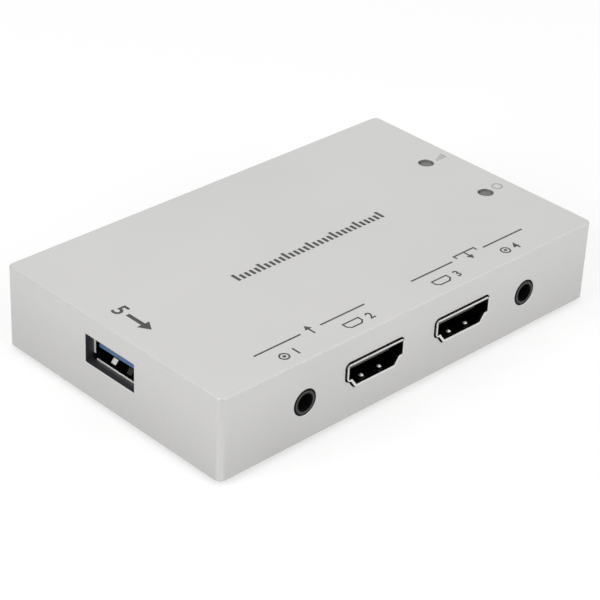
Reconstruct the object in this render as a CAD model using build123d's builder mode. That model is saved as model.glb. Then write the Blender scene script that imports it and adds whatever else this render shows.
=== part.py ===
from build123d import *
import os

# A small video capture box. One deep aluminium cup forms the top and the four sides, a base
# plate closes it from below, and a circuit board hangs inside it from the ceiling.
# Lengths are millimetres. X runs along the case, with the data socket at the -X end, -Y is the
# long face with the two audio jacks and the two video sockets, and +Z is up. The origin is on
# the surface that the feet stand on, under the middle of the case.

# Case
case_length = 100.0
case_width = 61.0
case_height = 17.5
wall = 2.0
ceiling = 2.0
corner_radius = 1.3
rim_radius = 0.4
cavity_corner_radius = 2.0
window_edge_break = 0.12
overrun = 1.0

# Base plate, its screws, the feet and the insulating sheet
plate_thickness = 1.5
plate_gap = 0.15
post_radius = 2.75
post_inset = 2.5
thread_clearance = 0.05
base_screw_radius = 1.2
base_screw_length = 6.0
base_screw_head_radius = 2.35
base_screw_hole_radius = 1.45
base_pilot_depth = 6.0
recess_length = 2.4
recess_width = 0.6
recess_depth = 0.8
foot_radius = 4.0
foot_height = 1.0
foot_recess = 0.4
foot_gap = 0.1
foot_inset_x = 12.0
foot_inset_y = 10.0
foot_edge_radius = 0.3
sheet_thickness = 0.25
sheet_margin = 6.0

# Circuit board and the bosses that it hangs from
board_thickness = 1.6
board_lift_share = 0.53
board_front_gap = 1.0
board_end_gap = 1.5
board_rear_gap = 2.5
post_clearance = 0.6
boss_radius = 2.5
boss_inset_x = 7.5
boss_inset_y = 8.5
board_screw_radius = 0.95
board_screw_length = 6.0
board_screw_head_radius = 1.9
board_screw_head_height = 0.9
board_screw_hole_radius = 1.15
board_pilot_depth = 5.0
board_recess_length = 1.9
board_recess_width = 0.45
board_recess_depth = 0.5
prong_clearance = 0.15

# Data socket: a wide stamped shell round a tongue with two rows of contacts
data_width = 13.1
data_height = 5.72
data_sheet = 0.3
data_bend_radius = 0.6
data_depth = 14.0
data_lift = 1.6
data_side_gap = 0.4
data_top_gap = 0.21
data_window_corner_radius = 0.2
data_tongue_width = 11.2
data_tongue_thickness = 1.84
data_tongue_height = 3.66
data_tongue_setback = 0.2
data_tongue_bevel = 0.15
data_block_depth = 5.0
data_fit_gap = 0.05
data_finger_spacing = 4.5
data_finger_width = 1.3
data_finger_root = 8.6
data_finger_peak = 1.6
data_finger_tip = 0.9
data_low_finger_rise = 0.95
data_high_finger_rise = 0.45
data_finger_lip = 0.1
data_finger_slot = 0.35
data_lip_gap = 0.05
data_lip_thickness = 0.3
data_notch_width = 0.55
data_notch_height = 1.15
data_notch_depth = 0.8
data_leg_width = 2.6
data_prong_width = 1.2
data_front_leg = 3.6
data_rear_leg = 11.2
contact_width = 0.7
contact_thickness = 0.25
data_contact_start = 4.4
data_tail_offset = 0.7
fast_contact_start = 1.1
fast_contact_end = 3.2
fast_contact_climb = 0.6
fast_tail_offset = 2.3
fast_contact_depth = 0.9
tail_hole_radius = 0.5
tail_reach = 0.8
data_contact_pitches = (-3.5, -1.0, 1.0, 3.5)
fast_contact_pitches = (-4.5, -2.25, 0.0, 2.25, 4.5)

# Video sockets: stamped shells with sloping lower corners, placed along the front face
video_in_share = -0.115
video_out_share = 0.123
video_open_width = 14.0
video_open_height = 4.55
video_shoulder_drop = 2.8
video_shoulder_step = 0.7
video_floor_width = 10.0
video_bend_radius = 0.4
video_sheet = 0.35
video_lip = 0.12
video_lip_depth = 0.4
video_window_gap = 0.4
video_protrusion = 0.3
video_depth = 11.5
video_lift = 0.7
video_tongue_width = 11.0
video_tongue_thickness = 1.1
video_tongue_drop = 1.75
video_tongue_setback = 1.9
video_tongue_bevel = 0.2
video_block_depth = 2.4
video_fit_gap = 0.05
video_finger_spacing = 4.7
video_finger_width = 1.3
video_finger_root = 6.4
video_finger_peak = 1.5
video_finger_tip = 0.9
video_finger_rise = 0.2
video_finger_lip = 0.05
video_finger_slot = 0.3
video_leg_width = 2.4
video_prong_width = 1.1
video_front_leg = 5.1
video_rear_leg = 9.9
pin_pitch = 1.0
pin_width = 0.4
pin_thickness = 0.2
pin_start = 0.6
upper_pin_count = 10
lower_pin_count = 9
upper_pin_drop_offset = 1.7
lower_pin_drop_offset = 0.6
pin_foot = 0.7

# Audio jacks, placed along the front face
jack_in_share = -0.294
jack_out_share = 0.306
jack_axis_height = 2.45
jack_width = 6.6
jack_depth = 13.0
jack_wall_gap = 0.2
jack_top_bevel = 0.4
nozzle_radius = 2.55
nozzle_gap = 0.2
nozzle_edge_break = 0.15
bore_radius = 1.8
guide_length = 4.0
chamber_radius = 2.1
chamber_back_wall = 0.9
spring_slot_height = 1.6
leaf_height = 1.2
leaf_thickness = 0.25
leaf_offset = 2.7
leaf_intrusion = 0.35
plug_radius = 1.75
pivot_radius = 0.35
pivot_clearance = 0.03
pivot_reach = 0.5
pivot_end_gap = 0.05
slot_end_gap = 0.35
tip_pivot_depth = 3.3
tip_contact_depth = 9.7
ring_pivot_depth = 11.3
ring_contact_depth = 6.1
leaf_ramp = 1.7
leaf_lip_length = 0.9
leaf_lip_return = 0.45
pin_plate_width = 0.8
pin_plate_thickness = 0.3
pin_plate_gap = 0.75
sleeve_plate_width = 2.0
sleeve_plate_depth = 2.9
sleeve_plate_offset = 2.15
sleeve_plate_height = 1.0
peg_radius = 0.5
peg_clearance = 0.1
peg_depth = 7.0
peg_length = 1.2

# Indicator light pipes and the lamps under them
indicator_end_inset = 7.42
indicator_spacing = 16.8
indicator_hole_radius = 1.65
indicator_fit_gap = 0.05
indicator_recess = 0.5
indicator_collar_radius = 2.5
indicator_collar_height = 0.8
indicator_foot_gap = 0.3
lamp_length = 3.2
lamp_width = 2.8
lamp_height = 1.9
lamp_cup_radius = 1.1
lamp_cup_depth = 0.5

# Area of the board that the chips share, and its edges
area_socket_gap = 3.0
area_rear_margin = 1.5
area_indicator_gap = 1.0

# Chips: length, width and height of each, with its place as shares of the area
capture_chip_size = 15.0
capture_chip_height = 1.4
capture_chip_shares = (0.46, 0.44)
tape_thickness = 0.25
heatsink_size = 14.0
heatsink_base = 1.5
heatsink_headroom = 1.6
fin_thickness = 0.8
fin_count = 7
receiver_chip_size = 10.0
receiver_chip_height = 1.2
receiver_chip_shares = (0.13, 0.27)
receiver_lead_count = 16
receiver_lead_pitch = 0.5
receiver_lead_width = 0.22
receiver_lead_reach = 1.0
lead_thickness = 0.2
controller_chip_size = 8.0
controller_chip_height = 0.9
controller_chip_shares = (0.13, 0.66)
memory_chip_length = 8.0
memory_chip_width = 8.0
memory_chip_height = 1.1
memory_chip_1_shares = (0.74, 0.24)
memory_chip_2_shares = (0.74, 0.62)
audio_chip_size = 5.0
audio_chip_height = 0.85
audio_chip_shares = (0.92, 0.18)
flash_chip_length = 5.2
flash_chip_width = 5.3
flash_chip_height = 1.75
flash_chip_shares = (0.92, 0.55)
flash_lead_count = 4
flash_lead_pitch = 1.27
flash_lead_width = 0.42
flash_lead_reach = 1.2
chip_bevel = 0.15
chip_dot_radius = 0.35
chip_dot_depth = 0.1
chip_dot_inset = 1.1

# Power parts in one row along the board's rear edge, between the bosses
row_boss_gap = 1.0
row_rear_gap = 4.4
regulator_count = 2
regulator_length = 4.0
regulator_width = 3.0
regulator_height = 1.0
inductor_count = 3
inductor_size = 5.0
inductor_height = 3.0
inductor_corner_radius = 1.0
inductor_bevel = 0.4
can_count = 3
can_radius = 2.5
can_height = 5.4
can_base_size = 5.3
can_base_height = 0.8
can_base_bevel = 1.0

# Small electronic parts
crystal_length = 3.2
crystal_width = 2.5
crystal_height = 0.8
crystal_corner_radius = 0.4
video_crystal_shares = (0.29, 0.12)
data_crystal_shares = (0.29, 0.76)
chip_capacitor_length = 1.0
chip_capacitor_width = 0.5
chip_capacitor_height = 0.5
chip_capacitor_pitch = 1.6
chip_capacitor_count = 8
chip_capacitor_gap = 1.2
resistor_length = 1.0
resistor_width = 0.5
resistor_height = 0.35
resistor_pitch = 1.1
resistor_count = 8
resistor_gap = 3.4
protection_length = 2.5
protection_width = 1.2
protection_height = 0.6
protection_pitch = 5.0
protection_gap = 1.6

# Heights of the main levels
case_bottom = foot_height
case_top = case_bottom + case_height
ceiling_z = case_top - ceiling
plate_top = case_bottom + plate_thickness
free_height = ceiling_z - plate_top - board_thickness - data_lift - data_height
board_bottom = plate_top + board_lift_share * free_height
board_top = board_bottom + board_thickness
data_z = board_top + data_lift + data_height / 2
video_z = board_top + video_lift + video_sheet + video_open_height / 2
jack_z = board_top + jack_axis_height

# Places in plan
cavity_length = case_length - 2 * wall
cavity_width = case_width - 2 * wall
post_spacing_x = cavity_length - 2 * post_inset
post_spacing_y = cavity_width - 2 * post_inset
boss_spacing_x = cavity_length - 2 * boss_inset_x
boss_spacing_y = cavity_width - 2 * boss_inset_y
foot_spacing_x = case_length - 2 * foot_inset_x
foot_spacing_y = case_width - 2 * foot_inset_y
board_front = -cavity_width / 2 + board_front_gap
board_rear = cavity_width / 2 - board_rear_gap
board_length = cavity_length - 2 * board_end_gap
data_mouth = -cavity_length / 2
data_side_lip = data_side_gap - data_lip_gap
data_top_lip = data_top_gap - data_lip_gap
video_mouth = -case_width / 2 - video_protrusion
jack_front = -cavity_width / 2 + jack_wall_gap
jack_back = jack_front + jack_depth
indicator_x = case_length / 2 - indicator_end_inset
video_places = (video_in_share * case_length, video_out_share * case_length)
jack_places = (jack_in_share * case_length, jack_out_share * case_length)
sides = (-1, 1)
on_base = (Align.CENTER, Align.CENTER, Align.MIN)
hung = (Align.CENTER, Align.CENTER, Align.MAX)

# Edges of the area that the chips share
area_left = data_mouth + data_depth + area_socket_gap
area_right = indicator_x - indicator_collar_radius - area_indicator_gap
area_front = jack_back + area_socket_gap
area_rear = board_rear - area_rear_margin

# Row of power parts
row_count = regulator_count + inductor_count + can_count
row_pitch = (boss_spacing_x - 2 * boss_radius - 2 * row_boss_gap) / row_count
row_y = board_rear - row_rear_gap

os.makedirs("parts", exist_ok=True)


def row_place(number):
    """Place of a power part, counted from the row's -X end."""
    return ((number - (row_count - 1) / 2) * row_pitch, row_y)


def place_in_area(shares):
    """Point of the chips' area, from its shares across the area's length and width."""
    across, along = shares
    return (
        area_left + (area_right - area_left) * across,
        area_front + (area_rear - area_front) * along,
    )


# Outlines of the video socket: the opening, the shell's outside and the window in the case
with BuildSketch() as video_opening:
    with BuildLine():
        Polyline(
            (0, video_open_height / 2),
            (video_open_width / 2, video_open_height / 2),
            (video_open_width / 2, video_open_height / 2 - video_shoulder_drop),
            (video_open_width / 2 - video_shoulder_step, video_open_height / 2 - video_shoulder_drop),
            (video_floor_width / 2, -video_open_height / 2),
            (0, -video_open_height / 2),
        )
        mirror(about=Plane.YZ)
    make_face()
    bends = [corner for corner in video_opening.vertices() if abs(corner.X) > video_floor_width / 4]
    fillet(bends, video_bend_radius)

with BuildSketch() as video_shell_outline:
    add(video_opening.sketch)
    offset(amount=video_sheet, kind=Kind.INTERSECTION)

with BuildSketch() as video_lip_outline:
    add(video_opening.sketch)
    offset(amount=video_sheet + video_lip, kind=Kind.INTERSECTION)

with BuildSketch() as video_window:
    add(video_opening.sketch)
    offset(amount=video_sheet + video_window_gap, kind=Kind.INTERSECTION)

# Upper case: the cup, its port windows, the corner posts and the board's bosses
with BuildPart() as upper_case:
    with BuildSketch(Plane.XY.offset(case_bottom)):
        RectangleRounded(case_length, case_width, corner_radius)
    extrude(amount=case_height)
    fillet(upper_case.faces().sort_by(Axis.Z)[-1].edges(), rim_radius)
    with BuildSketch(Plane.XY.offset(case_bottom)):
        RectangleRounded(cavity_length, cavity_width, cavity_corner_radius)
    extrude(amount=case_height - ceiling, mode=Mode.SUBTRACT)
    with BuildSketch(Plane.XZ.offset(case_width / 2)):
        with Locations(*[(x, jack_z) for x in jack_places]):
            Circle(nozzle_radius + nozzle_gap)
        with Locations(*[(x, video_z) for x in video_places]):
            add(video_window.sketch)
    extrude(amount=-wall - overrun, mode=Mode.SUBTRACT)
    with BuildSketch(Plane.YZ.offset(-case_length / 2)):
        with Locations((0, data_z)):
            RectangleRounded(
                data_width + 2 * data_side_gap,
                data_height + 2 * data_top_gap,
                data_window_corner_radius,
            )
    extrude(amount=wall + overrun, mode=Mode.SUBTRACT)
    with BuildSketch(Plane.XY.offset(case_top)):
        with Locations(*[(indicator_x, side * indicator_spacing / 2) for side in sides]):
            Circle(indicator_hole_radius)
    extrude(amount=-ceiling - overrun, mode=Mode.SUBTRACT)
    front_face = upper_case.faces().filter_by(Axis.Y).sort_by(Axis.Y)[0]
    end_face = upper_case.faces().filter_by(Axis.X).sort_by(Axis.X)[0]
    top_face = upper_case.faces().filter_by(Axis.Z).sort_by(Axis.Z)[-1]
    for face in (front_face, end_face, top_face):
        chamfer(face.inner_wires().edges(), window_edge_break)
    with BuildSketch(Plane.XY.offset(plate_top)):
        with GridLocations(post_spacing_x, post_spacing_y, 2, 2):
            Circle(post_radius)
    extrude(amount=ceiling_z - plate_top + ceiling / 2)
    with BuildSketch(Plane.XY.offset(board_top)):
        with GridLocations(boss_spacing_x, boss_spacing_y, 2, 2):
            Circle(boss_radius)
    extrude(amount=ceiling_z - board_top + ceiling / 2)
    with BuildSketch(Plane.XY.offset(plate_top)):
        with GridLocations(post_spacing_x, post_spacing_y, 2, 2):
            Circle(base_screw_radius + thread_clearance)
    extrude(amount=base_pilot_depth, mode=Mode.SUBTRACT)
    with BuildSketch(Plane.XY.offset(board_top)):
        with GridLocations(boss_spacing_x, boss_spacing_y, 2, 2):
            Circle(board_screw_radius + thread_clearance)
    extrude(amount=board_pilot_depth, mode=Mode.SUBTRACT)
upper_case.part.label = "upper_case"
export_step(upper_case.part, "parts/upper_case.step")

# Base plate: set flush into the cup's mouth against the corner posts
with BuildPart() as base_plate:
    with BuildSketch(Plane.XY.offset(case_bottom)):
        RectangleRounded(
            cavity_length - 2 * plate_gap,
            cavity_width - 2 * plate_gap,
            cavity_corner_radius - plate_gap,
        )
    extrude(amount=plate_thickness)
    with Locations(Plane(origin=(0, 0, case_bottom), x_dir=(1, 0, 0), z_dir=(0, 0, -1))):
        with GridLocations(post_spacing_x, post_spacing_y, 2, 2):
            CounterSinkHole(
                base_screw_hole_radius, base_screw_head_radius, counter_sink_angle=90
            )
    with BuildSketch(Plane.XY.offset(case_bottom)):
        with GridLocations(foot_spacing_x, foot_spacing_y, 2, 2):
            Circle(foot_radius + foot_gap)
    extrude(amount=foot_recess, mode=Mode.SUBTRACT)
base_plate.part.label = "base_plate"
export_step(base_plate.part, "parts/base_plate.step")

# Base screws: four countersunk screws with a cross recess
with BuildPart(Plane.XY.offset(case_bottom)) as base_screws:
    with GridLocations(post_spacing_x, post_spacing_y, 2, 2):
        Cone(
            base_screw_head_radius,
            base_screw_radius,
            base_screw_head_radius - base_screw_radius,
            align=on_base,
        )
        Cylinder(base_screw_radius, base_screw_length, align=on_base)
        Box(recess_length, recess_width, recess_depth, align=on_base, mode=Mode.SUBTRACT)
        Box(recess_width, recess_length, recess_depth, align=on_base, mode=Mode.SUBTRACT)
base_screws.part.label = "base_screws"
export_step(base_screws.part, "parts/base_screws.step")

# Feet: four rubber discs stuck in shallow recesses of the base plate
foot_corners = {"front_left": (-1, -1), "front_right": (1, -1), "rear_left": (-1, 1), "rear_right": (1, 1)}
for corner, (side_x, side_y) in foot_corners.items():
    with BuildPart() as foot:
        with BuildSketch():
            with Locations((side_x * foot_spacing_x / 2, side_y * foot_spacing_y / 2)):
                Circle(foot_radius)
        extrude(amount=foot_height + foot_recess)
        fillet(foot.edges().sort_by(Axis.Z)[0], foot_edge_radius)
    foot.part.label = f"{corner}_foot"
    export_step(foot.part, f"parts/{corner}_foot.step")

# Insulating sheet: lies on the base plate, under the board's solder side
with BuildPart() as insulating_sheet:
    with BuildSketch(Plane.XY.offset(plate_top)):
        Rectangle(cavity_length - 2 * sheet_margin, cavity_width - 2 * sheet_margin)
    extrude(amount=sheet_thickness)
insulating_sheet.part.label = "insulating_sheet"
export_step(insulating_sheet.part, "parts/insulating_sheet.step")

# Places of the prongs and tails that pass through the board
data_leg_places = [
    (data_mouth + depth, side * (data_width - data_sheet) / 2)
    for depth in (data_front_leg, data_rear_leg)
    for side in sides
]
data_tail_places = [(data_mouth + data_depth + data_tail_offset, y) for y in data_contact_pitches]
fast_tail_places = [(data_mouth + data_depth + fast_tail_offset, y) for y in fast_contact_pitches]
video_leg_places = [
    (x + side * (video_open_width + video_sheet) / 2, video_mouth + depth)
    for x in video_places
    for depth in (video_front_leg, video_rear_leg)
    for side in sides
]
tip_pin_y = jack_front + tip_pivot_depth - pin_plate_gap
ring_pin_y = jack_front + ring_pivot_depth + pin_plate_gap
sleeve_pin_y = jack_front + sleeve_plate_depth
peg_y = jack_front + peg_depth

# Circuit board: one bare board, notched round the corner posts
with BuildPart() as main_board:
    with BuildSketch(Plane.XY.offset(board_bottom)):
        with Locations((0, (board_front + board_rear) / 2)):
            Rectangle(board_length, board_rear - board_front)
        with GridLocations(post_spacing_x, post_spacing_y, 2, 2):
            Circle(post_radius + post_clearance, mode=Mode.SUBTRACT)
        with GridLocations(boss_spacing_x, boss_spacing_y, 2, 2):
            Circle(board_screw_hole_radius, mode=Mode.SUBTRACT)
        with Locations(*data_leg_places):
            Rectangle(
                data_prong_width + 2 * prong_clearance,
                data_sheet + 2 * prong_clearance,
                mode=Mode.SUBTRACT,
            )
        with Locations(*data_tail_places, *fast_tail_places):
            Circle(tail_hole_radius, mode=Mode.SUBTRACT)
        with Locations(*video_leg_places):
            Rectangle(
                video_sheet + 2 * prong_clearance,
                video_prong_width + 2 * prong_clearance,
                mode=Mode.SUBTRACT,
            )
        with Locations(*[(x + leaf_offset, tip_pin_y) for x in jack_places]):
            Circle(tail_hole_radius, mode=Mode.SUBTRACT)
        with Locations(*[(x - leaf_offset, ring_pin_y) for x in jack_places]):
            Circle(tail_hole_radius, mode=Mode.SUBTRACT)
        with Locations(*[(x - sleeve_plate_offset, sleeve_pin_y) for x in jack_places]):
            Circle(tail_hole_radius, mode=Mode.SUBTRACT)
        with Locations(*[(x, peg_y) for x in jack_places]):
            Circle(peg_radius + peg_clearance, mode=Mode.SUBTRACT)
    extrude(amount=board_thickness)
main_board.part.label = "main_board"
export_step(main_board.part, "parts/main_board.step")

# Board screws: four pan-head screws driven up into the bosses
with BuildPart(Plane.XY.offset(board_bottom)) as board_screws:
    with GridLocations(boss_spacing_x, boss_spacing_y, 2, 2):
        Cylinder(board_screw_radius, board_screw_length, align=on_base)
        Cylinder(board_screw_head_radius, board_screw_head_height, align=hung)
    with BuildSketch(Plane.XY.offset(board_bottom - board_screw_head_height)):
        with GridLocations(boss_spacing_x, boss_spacing_y, 2, 2):
            Rectangle(board_recess_length, board_recess_width)
            Rectangle(board_recess_width, board_recess_length)
    extrude(amount=board_recess_depth, mode=Mode.SUBTRACT)
board_screws.part.label = "board_screws"
export_step(board_screws.part, "parts/board_screws.step")


def bent_strip(plane, points, thickness, width):
    """Strip of sheet metal bent along the points of the plane, centred on it across its width."""
    with BuildPart() as strip:
        with BuildSketch(plane):
            with BuildLine() as path:
                Polyline(*points)
            trace(path.line, line_width=thickness)
        extrude(amount=width / 2, both=True)
    return strip.part


# Data contacts: four long ones under the tongue and five short ones at its tip
data_bottom = data_z - data_height / 2
tongue_bottom = data_bottom + data_tongue_height - data_tongue_thickness / 2
tongue_top = tongue_bottom + data_tongue_thickness
tail_end = board_bottom - tail_reach
data_contact_list = []
for y, (x_tail, y_tail) in zip(data_contact_pitches, data_tail_places):
    data_contact_list.append(
        bent_strip(
            Plane.XZ.offset(-y),
            [
                (data_mouth + data_contact_start, tongue_bottom),
                (x_tail, tongue_bottom),
                (x_tail, tail_end),
            ],
            contact_thickness,
            contact_width,
        )
    )
for y, (x_tail, y_tail) in zip(fast_contact_pitches, fast_tail_places):
    data_contact_list.append(
        bent_strip(
            Plane.XZ.offset(-y),
            [
                (data_mouth + fast_contact_start, tongue_bottom),
                (data_mouth + fast_contact_end, tongue_bottom),
                (data_mouth + fast_contact_end + fast_contact_climb, tongue_bottom + fast_contact_depth),
                (x_tail, tongue_bottom + fast_contact_depth),
                (x_tail, tail_end),
            ],
            contact_thickness,
            contact_width,
        )
    )
with BuildPart() as data_contacts:
    add(data_contact_list)
data_contacts.part.label = "data_contacts"
export_step(data_contacts.part, "parts/data_contacts.step")

# Data insulator: the tongue and the block that closes the back of the shell
with BuildPart() as data_insulator:
    with BuildSketch(Plane.YZ.offset(data_mouth + data_tongue_setback)):
        with Locations((0, (tongue_bottom + tongue_top) / 2)):
            Rectangle(data_tongue_width, data_tongue_thickness)
    extrude(amount=data_depth - data_tongue_setback)
    chamfer(data_insulator.faces().sort_by(Axis.X)[0].edges(), data_tongue_bevel)
    with BuildSketch(Plane.YZ.offset(data_mouth + data_depth - data_block_depth)):
        with Locations((0, data_z)):
            RectangleRounded(
                data_width - 2 * data_sheet - 2 * data_fit_gap,
                data_height - 2 * data_sheet - 2 * data_fit_gap,
                data_bend_radius - data_sheet,
            )
    extrude(amount=data_block_depth)
    add(data_contacts.part, mode=Mode.SUBTRACT)
data_insulator.part.label = "data_insulator"
export_step(data_insulator.part, "parts/data_insulator.step")

# Data shell: a bent tube of sheet with spring fingers and four prongs through the board. Its
# mouth has a flared lip on each side, and a notch at each corner between the lips.
with BuildPart() as data_shell:
    with BuildSketch(Plane.YZ.offset(data_mouth)):
        with Locations((0, data_z)):
            RectangleRounded(data_width, data_height, data_bend_radius)
            RectangleRounded(
                data_width - 2 * data_sheet,
                data_height - 2 * data_sheet,
                data_bend_radius - data_sheet,
                mode=Mode.SUBTRACT,
            )
    extrude(amount=data_depth)
    with BuildSketch(Plane.YZ.offset(data_mouth)):
        with Locations((0, data_z)):
            Rectangle(data_width - 2 * data_notch_width, data_height + 2 * data_top_lip)
            Rectangle(data_width + 2 * data_side_lip, data_height - 2 * data_notch_height)
            Rectangle(
                data_width - 2 * data_sheet,
                data_height - 2 * data_sheet,
                mode=Mode.SUBTRACT,
            )
    extrude(amount=data_lip_thickness)
    with BuildSketch(Plane.YZ.offset(data_mouth)):
        with Locations(
            *[
                (
                    side * (data_width - data_notch_width) / 2,
                    data_z + level * (data_height - data_notch_height) / 2,
                )
                for side in sides
                for level in sides
            ]
        ):
            Rectangle(data_notch_width, data_notch_height)
    extrude(amount=data_notch_depth, mode=Mode.SUBTRACT)
    with BuildSketch(Plane.XY.offset(data_z)):
        for side in sides:
            with Locations(
                (
                    data_mouth + (data_finger_tip - data_finger_slot + data_finger_root) / 2,
                    side * data_finger_spacing / 2,
                )
            ):
                Rectangle(
                    data_finger_root - data_finger_tip + data_finger_slot,
                    data_finger_width + 2 * data_finger_slot,
                )
    extrude(amount=data_height, both=True, mode=Mode.SUBTRACT)
    for level, finger_rise in ((-1, data_low_finger_rise), (1, data_high_finger_rise)):
        for side in sides:
            with BuildSketch(Plane.XZ.offset(side * data_finger_spacing / 2)):
                with BuildLine() as finger_path:
                    Polyline(
                        (
                            data_mouth + data_finger_root + data_finger_slot,
                            data_z + level * (data_height - data_sheet) / 2,
                        ),
                        (
                            data_mouth + data_finger_root,
                            data_z + level * (data_height - data_sheet) / 2,
                        ),
                        (
                            data_mouth + data_finger_peak,
                            data_z + level * ((data_height - data_sheet) / 2 - finger_rise),
                        ),
                        (
                            data_mouth + data_finger_tip,
                            data_z + level * ((data_height - data_sheet) / 2 - data_finger_lip),
                        ),
                    )
                trace(finger_path.line, line_width=data_sheet)
            extrude(amount=data_finger_width / 2, both=True)
    for side in sides:
        with BuildSketch(Plane.XZ.offset(side * data_width / 2)):
            with Locations(
                (data_mouth + data_front_leg, (board_top + data_z) / 2),
                (data_mouth + data_rear_leg, (board_top + data_z) / 2),
            ):
                Rectangle(data_leg_width, data_z - board_top)
            with Locations(
                (data_mouth + data_front_leg, (tail_end + data_z) / 2),
                (data_mouth + data_rear_leg, (tail_end + data_z) / 2),
            ):
                Rectangle(data_prong_width, data_z - tail_end)
        extrude(amount=-side * data_sheet)
data_shell.part.label = "data_shell"
export_step(data_shell.part, "parts/data_shell.step")

# Data base block: the plastic block that lifts the shell off the board
with BuildPart() as data_base_block:
    with BuildSketch(Plane.XY.offset(board_top)):
        with Locations((data_mouth + (board_end_gap + data_depth) / 2, 0)):
            Rectangle(data_depth - board_end_gap, data_width - 2 * data_sheet - 2 * data_fit_gap)
    extrude(amount=data_lift)
data_base_block.part.label = "data_base_block"
export_step(data_base_block.part, "parts/data_base_block.step")


def video_contacts(x_centre):
    """Two staggered rows of contacts on the tongue, bent down to flat feet on the board."""
    tongue_z = video_z + video_open_height / 2 - video_tongue_drop
    back = video_mouth + video_depth
    start = video_mouth + video_tongue_setback + pin_start
    foot_z = board_top + pin_thickness / 2
    rows = (
        (1, upper_pin_count, upper_pin_drop_offset),
        (-1, lower_pin_count, lower_pin_drop_offset),
    )
    pins = []
    for level, count, drop_offset in rows:
        row_z = tongue_z + level * video_tongue_thickness / 2
        for number in range(count):
            pin_x = x_centre + (number - (count - 1) / 2) * pin_pitch
            pins.append(
                bent_strip(
                    Plane.YZ.offset(pin_x),
                    [
                        (start, row_z),
                        (back + drop_offset, row_z),
                        (back + drop_offset, foot_z),
                        (back + drop_offset + pin_foot, foot_z),
                    ],
                    pin_thickness,
                    pin_width,
                )
            )
    with BuildPart() as contacts:
        add(pins)
    return contacts


def video_insulator(x_centre, contacts):
    """Tongue and rear block of a video socket, with channels for its contacts."""
    tongue_z = video_z + video_open_height / 2 - video_tongue_drop
    with BuildPart() as insulator:
        with BuildSketch(Plane.XZ.offset(-video_mouth - video_tongue_setback)):
            with Locations((x_centre, tongue_z)):
                Rectangle(video_tongue_width, video_tongue_thickness)
        extrude(amount=video_tongue_setback - video_depth)
        chamfer(insulator.faces().sort_by(Axis.Y)[0].edges(), video_tongue_bevel)
        with BuildSketch(Plane.XZ.offset(-video_mouth - video_depth)):
            with Locations((x_centre, video_z)):
                add(video_opening.sketch)
                offset(amount=-video_fit_gap)
        extrude(amount=video_block_depth)
        add(contacts.part, mode=Mode.SUBTRACT)
    return insulator


def video_shell(x_centre):
    """Bent tube of sheet with a rim at its mouth, two pairs of spring fingers and four prongs."""
    finger_length = video_finger_root - video_finger_tip + video_finger_slot
    finger_middle = video_mouth + video_finger_root - finger_length / 2
    leg_top = video_z + video_open_height / 2 - video_shoulder_drop / 2
    with BuildPart() as shell:
        with BuildSketch(Plane.XZ.offset(-video_mouth)):
            with Locations((x_centre, video_z)):
                add(video_shell_outline.sketch)
                add(video_opening.sketch, mode=Mode.SUBTRACT)
        extrude(amount=-video_depth)
        with BuildSketch(Plane.XZ.offset(-video_mouth)):
            with Locations((x_centre, video_z)):
                add(video_lip_outline.sketch)
                add(video_opening.sketch, mode=Mode.SUBTRACT)
        extrude(amount=-video_lip_depth)
        with BuildSketch(Plane.XY.offset(video_z)):
            with Locations(*[(x_centre + side * video_finger_spacing / 2, finger_middle) for side in sides]):
                Rectangle(video_finger_width + 2 * video_finger_slot, finger_length)
        extrude(amount=video_open_height, both=True, mode=Mode.SUBTRACT)
        for level in sides:
            sheet_z = (video_open_height + video_sheet) / 2
            for side in sides:
                with BuildSketch(Plane.YZ.offset(x_centre + side * video_finger_spacing / 2)):
                    with BuildLine() as finger_path:
                        Polyline(
                            (video_mouth + video_finger_root + video_finger_slot, video_z + level * sheet_z),
                            (video_mouth + video_finger_root, video_z + level * sheet_z),
                            (
                                video_mouth + video_finger_peak,
                                video_z + level * (sheet_z - video_finger_rise),
                            ),
                            (
                                video_mouth + video_finger_tip,
                                video_z + level * (sheet_z - video_finger_lip),
                            ),
                        )
                    trace(finger_path.line, line_width=video_sheet)
                extrude(amount=video_finger_width / 2, both=True)
        for side in sides:
            outer_x = x_centre + side * (video_open_width / 2 + video_sheet)
            with BuildSketch(Plane.YZ.offset(outer_x)):
                for depth in (video_front_leg, video_rear_leg):
                    with Locations((video_mouth + depth, (board_top + leg_top) / 2)):
                        Rectangle(video_leg_width, leg_top - board_top)
                    with Locations((video_mouth + depth, (tail_end + leg_top) / 2)):
                        Rectangle(video_prong_width, leg_top - tail_end)
            extrude(amount=-side * video_sheet)
    return shell


# Video sockets: the same three pieces twice
for use, x_centre in zip(("in", "out"), video_places):
    contacts = video_contacts(x_centre)
    insulator = video_insulator(x_centre, contacts)
    shell = video_shell(x_centre)
    contacts.part.label = f"video_{use}_contacts"
    insulator.part.label = f"video_{use}_insulator"
    shell.part.label = f"video_{use}_shell"
    export_step(contacts.part, f"parts/video_{use}_contacts.step")
    export_step(insulator.part, f"parts/video_{use}_insulator.step")
    export_step(shell.part, f"parts/video_{use}_shell.step")


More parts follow.
